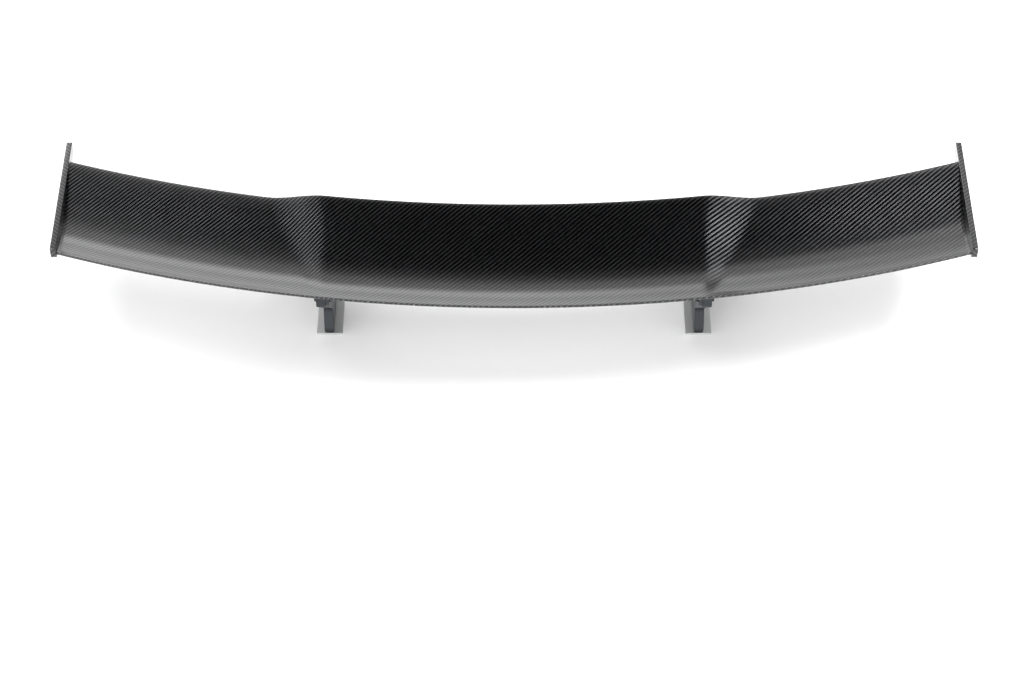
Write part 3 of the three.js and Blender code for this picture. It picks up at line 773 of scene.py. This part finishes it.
def hex_bolt():
    """M8 by 30 hexagon-head bolt."""
    flat, head, shank, length = 6.5, M8_HEAD, 4.0, M8_LENGTH
    crown = CROWN * flat
    edge = hexagon(flat)
    return turned([
        (crown * 0.9, 0.15), (crown, 0.0),
        (edge, lambda a: (edge(a) - crown) * HEX_SLOPE),
        (edge, head - 0.35), (0.96 * flat, head - 0.35), (0.96 * flat, head),
        (shank + 0.3, head), (shank, head + 0.3),
        *thread(head + 1.0, head + length - 1.0, shank, 1.25),
        (shank - 0.9, head + length),
    ], 36)


def socket_screw(head_radius, head, socket, shank, length, pitch, dome):
    """Screw with a hexagon socket; dome is how far the head's rim is rounded back."""
    recess = hexagon(socket / 2)
    depth = head * 0.62
    rim = [
        (lerp(socket * 0.62, head_radius, math.sin(a)), dome * (1 - math.cos(a)))
        for a in (math.pi / 2 * k / 8 for k in range(9))
    ]
    return turned([
        (0.3, depth + 0.3), (recess, depth), (recess, 0.12),
        (lambda a: recess(a) + 0.15, 0.0),
        *rim,
        (head_radius, head - 0.25), (head_radius - 0.25, head),
        (shank + 0.25, head), (shank, head + 0.25),
        *thread(head + 0.8, head + length - 0.8, shank, pitch),
        (shank - 0.7, head + length),
    ], 36)


def flange_nut():
    """M6 nut on its own flange, from the bearing face up."""
    flat, height, bore = 5.0, 6.0, 3.06
    edge = hexagon(flat)
    crown = CROWN * flat
    return turned([
        (bore, 0.45), (bore + 0.45, 0.0), (6.7, 0.0), (7.05, 0.15), (7.1, 0.5), (7.0, 0.9),
        (lambda a: edge(a) + 0.35, 1.75), (edge, 2.2),
        (edge, lambda a: height - (edge(a) - crown) * HEX_SLOPE),
        (crown, height), (bore + 0.45, height), (bore, height - 0.45),
    ], 48, closed=True)


def flat_washer():
    inner, outer, t, r = 4.4, 9.0, WASHER_THICKNESS, 0.25
    return turned([
        (inner + r, 0), (outer - r, 0), (outer, r), (outer, t - r), (outer - r, t),
        (inner + r, t), (inner, t - r), (inner, r),
    ], 48, closed=True)


def lock_washer():
    """Split spring washer, nearly flat under load, with its ends cut on the slant."""
    inner, outer, t, steps = 4.3, 7.45, 1.85, 56
    section = [(inner, 0.2), (inner + 0.2, 0), (outer - 0.2, 0), (outer, 0.2),
               (outer, t - 0.2), (outer - 0.2, t), (inner + 0.2, t), (inner, t - 0.2)]
    verts, faces = [], []
    for k in range(steps + 1):
        turn = k / steps
        for r, z in section:
            a = math.radians(lerp(6, 354, turn) + 9 * (z / t - 0.5))
            verts.append((r * math.cos(a), r * math.sin(a), z + 0.32 * turn))
    size = len(section)
    for k in range(steps):
        for i in range(size):
            j = (i + 1) % size
            faces.append((k * size + i, k * size + j, (k + 1) * size + j, (k + 1) * size + i))
    faces += [tuple(range(size)), tuple(range(steps * size, (steps + 1) * size))]
    return verts, faces, {len(faces) - 2, len(faces) - 1}


BOLT, NUT = hex_bolt(), flange_nut()
SCREW_M6 = socket_screw(M6_HEAD_RADIUS, M6_HEAD, 4.0, 3.0, M6_LENGTH, 1.0, 2.4)
WASHER, SPRING = flat_washer(), lock_washer()


def m5_screw(length):
    """M5 button-head screw."""
    return socket_screw(M5_HEAD_RADIUS, M5_HEAD, 3.0, 2.5, length, 0.8, 0.9)


# heights of the clamped stack under the upright's base, from the top down
WASHER_TOP = PLATE_TOP - PLATE_THICKNESS - GAP
SPRING_TOP = WASHER_TOP - WASHER_THICKNESS - GAP
HEAD_TOP = SPRING_TOP - SPRING_HEIGHT - GAP
# where the screws through the upright bear, along X
SHOULDER = UPRIGHT_X + UPRIGHT_THICKNESS / 2 + GAP
NUT_FACE = BRACKET_INNER - GAP


def spun(x, y, z, turn):
    """Frame of a fastener that points up."""
    return Matrix.Translation((x, y, z)) @ Matrix.Rotation(turn, 4, "Z")


def along_x(x, y, z, turn):
    """Frame of a fastener that points from its head towards the centre line."""
    tip = Matrix.Rotation(-math.copysign(math.pi / 2, x), 4, "Y")
    return Matrix.Translation((x, y, z)) @ tip @ Matrix.Rotation(turn, 4, "Z")


def toed(side):
    """Turn that lays a straight end plate, or what goes through it, along the blade's end."""
    nose, middle, tail = (
        Vector((spread(HALF_SPAN, s), chord_y(spread(HALF_SPAN, s), s), 0)) for s in (0, 0.5, 1)
    )
    middle.x *= side
    angle = math.atan2(nose.x - tail.x, nose.y - tail.y)
    turn = Matrix.Rotation(-side * angle, 4, "Z")
    return Matrix.Translation(middle) @ turn @ Matrix.Translation(-middle)


def one_side(hand, side):
    """Pieces of one side: plates and strips are mirror images, bought fasteners are all alike."""
    def mirrored(node, solid, place, body, slot, finish, **more):
        put(f"{node}_{hand}", solid, place, body, slot, finish, left=side < 0, **more)

    mirrored("end_plate", end_plate(), WING @ toed(1) @ SIDEWAYS, "wing", "carbon_weave", CARBON,
             sharp=40, cloth=lambda u, v, w: (u * MM, (v + w) * MM))
    mirrored("wing_bracket", bracket(), WING, "wing", "black_anodised", ANODISED, sharp=25)
    face = HALF_SPAN + END_PLATE_THICKNESS
    for end, s in FIXINGS.items():
        place = along_x(side * face, chord_y(HALF_SPAN, s), camber_z(HALF_SPAN, s), s * 9)
        put(f"end_plate_screw_{hand}_{end}", m5_screw(face - M5_HEAD - END_SCREW_TIP),
            WING @ toed(side) @ place, "wing", "black_steel", BLACK_STEEL)
        rims = (s - M5_HEAD_RADIUS / CHORD, s + M5_HEAD_RADIUS / CHORD)
        seat = min(underside(BRACKET_SCREW_X, rim) for rim in rims) - FLANGE - 2 * GAP
        reach = underside(BRACKET_SCREW_X, s) + SKIN + BRACKET_SCREW_REACH - seat
        place = spun(side * BRACKET_SCREW_X, chord_y(BRACKET_SCREW_X, s), seat - M5_HEAD, s * 7)
        put(f"bracket_screw_{hand}_{end}", m5_screw(reach), WING @ place,
            "wing", "black_steel", BLACK_STEEL)

    mirrored("upright", upright(), MOUNT, "mount", "black_anodised", ANODISED, sharp=25)
    strip = foot_strip(
        GASKET_WIDTH, GASKET_THICKNESS, -GAP, GASKET_HOLE, GASKET_CORNER, GASKET_EDGE)
    mirrored("gasket", strip, MOUNT, "mount", "gasket_rubber", RUBBER)
    plate = foot_strip(
        PLATE_WIDTH, PLATE_THICKNESS, PLATE_TOP, PLATE_HOLE, PLATE_CORNER, PLATE_EDGE)
    mirrored("backing_plate", plate, MOUNT, "mount", "brushed_plate", PLATE)
    for number, y in enumerate(FOOT_HOLES, 1):
        stack = (
            ("foot_bolt", BOLT, HEAD_TOP - M8_HEAD),
            ("lock_washer", SPRING, SPRING_TOP - SPRING_HEIGHT),
            ("flat_washer", WASHER, WASHER_TOP - WASHER_THICKNESS),
        )
        for node, solid, low in stack:
            place = spun(side * UPRIGHT_X, y, low, 1.3 * number + 0.2 * side)
            put(f"{node}_{hand}_{number}", solid, MOUNT @ place, "mount", "zinc_steel", ZINC)
    for use, (y, z) in (("pivot", PIVOT), ("setting", SETTINGS[0])):
        screw = along_x(side * (SHOULDER + M6_HEAD), y, z, y * 0.01)
        nut = along_x(side * NUT_FACE, y, z, y * 0.02)
        put(f"{use}_screw_{hand}", SCREW_M6, MOUNT @ screw, "mount", "black_steel", BLACK_STEEL)
        put(f"{use}_nut_{hand}", NUT, MOUNT @ nut, "mount", "black_steel", BLACK_STEEL)


blade()
one_side("left", -1)
one_side("right", 1)

# pieces inside the blade keep their plain shapes
INSIDE = (("end_rib", ALLOY), ("hardpoint", ALLOY), ("front_spar", INNER), ("rear_spar", INNER))
for name, node in NODES.items():
    for start, look in INSIDE:
        if name.startswith(start):
            for slot in node.material_slots:
                slot.material = look


# ----------------------------------------------------------------- camera, floor, light
AIM = Vector((-0.00334, -0.10471, 0.0172))
TILT = math.radians(50)
DISTANCE = 3.67115
LENS, SENSOR = 77.34, 36
FLOOR_REACH = 14.0

camera = bpy.data.objects.new("camera", bpy.data.cameras.new("camera"))
camera.data.lens = LENS
camera.data.sensor_width = SENSOR
camera.location = AIM - Vector((0, math.cos(TILT), -math.sin(TILT))) * DISTANCE
camera.rotation_euler = (math.pi / 2 - TILT, 0, 0)
bpy.context.scene.collection.objects.link(camera)
bpy.context.scene.camera = camera

floor_mesh = bpy.data.meshes.new("floor")
corners = ((-1, -1), (1, -1), (1, 1), (-1, 1))
floor_mesh.from_pydata(
    [(x * FLOOR_REACH, y * FLOOR_REACH, 0) for x, y in corners], [], [(0, 1, 2, 3)])
floor = bpy.data.objects.new("floor", floor_mesh)
bpy.context.scene.collection.objects.link(floor)
paper = Finish("floor_paper", Roughness=0.9, Specular_IOR_Level=0.1)
fibre = paper.noise(paper.place(), 30.0)
paper.wire(Base_Color=paper.blend(fibre, grey(0.86), grey(0.88)))
floor_mesh.materials.append(paper.material)


def softbox(name, place, target, width, height, power):
    """Rectangular soft light that faces a point."""
    lamp = bpy.data.lights.new(name, "AREA")
    lamp.shape = "RECTANGLE"
    lamp.size, lamp.size_y = width, height
    lamp.energy = power
    light = bpy.data.objects.new(name, lamp)
    light.location = place
    light.rotation_euler = (Vector(target) - Vector(place)).to_track_quat("-Z", "Y").to_euler()
    bpy.context.scene.collection.objects.link(light)


softbox("right", (1.75, 0.1, 2.6), (1.0, 0.1, 0), width=1.3, height=1.4, power=84)
softbox("left", (-1.5, 0.1, 2.6), (-0.9, 0.1, 0), width=1.3, height=1.4, power=34)

# The room is a grey by direction: by height, with a flatter course towards +X, and with a glow
# on the side of -Y. Each course is a row of (position, grey) stops.
LEFT_BY_HEIGHT = [(0.05, 0.6), (0.27, 0.72), (0.38, 1.15), (0.44, 1.2), (0.54, 0.45),
                  (0.64, 0.36), (0.74, 0.1), (0.82, 0.0)]
RIGHT_BY_HEIGHT = [(0.05, 0.2), (0.38, 0.2), (0.44, 0.26), (0.54, 0.5), (0.64, 0.52),
                   (0.72, 0.07), (0.82, 0.0)]
LEFT_TO_RIGHT = [(0.5, 0.0), (0.6, 1.0)]
BACK_TO_FRONT = [(0.3, 0.32), (0.45, 0.0)]
ROOM_STRENGTH = 3.0

world = bpy.data.worlds.new("studio")
world.use_nodes = True
bpy.context.scene.world = world
room = Nodes(world.node_tree)


def course(value, stops):
    """Grey that follows a value through its stops."""
    node = room.add("ShaderNodeValToRGB", {0: value})
    elements = node.color_ramp.elements
    while len(elements) < len(stops):
        elements.new(1.0)
    for element, (position, tone) in zip(elements, stops):
        element.position, element.color = position, grey(tone)
    return node.outputs[0]


def from_zero(value):
    """Brings -1 to 1 onto 0 to 1."""
    return room.math("MULTIPLY_ADD", value, 0.5, 0.5)


sky = room.add("ShaderNodeTexCoord").outputs["Generated"]
across, along, up = room.add("ShaderNodeSeparateXYZ", {0: sky}).outputs
walls = room.blend(course(from_zero(across), LEFT_TO_RIGHT),
                   course(up, LEFT_BY_HEIGHT), course(up, RIGHT_BY_HEIGHT))
light = room.blend(1.0, walls, course(from_zero(along), BACK_TO_FRONT), "ADD")
background = world.node_tree.nodes["Background"]
world.node_tree.links.new(light, background.inputs[0])
background.inputs[1].default_value = ROOM_STRENGTH

view = bpy.context.scene.view_settings
view.view_transform = "Standard"
view.look = "None"
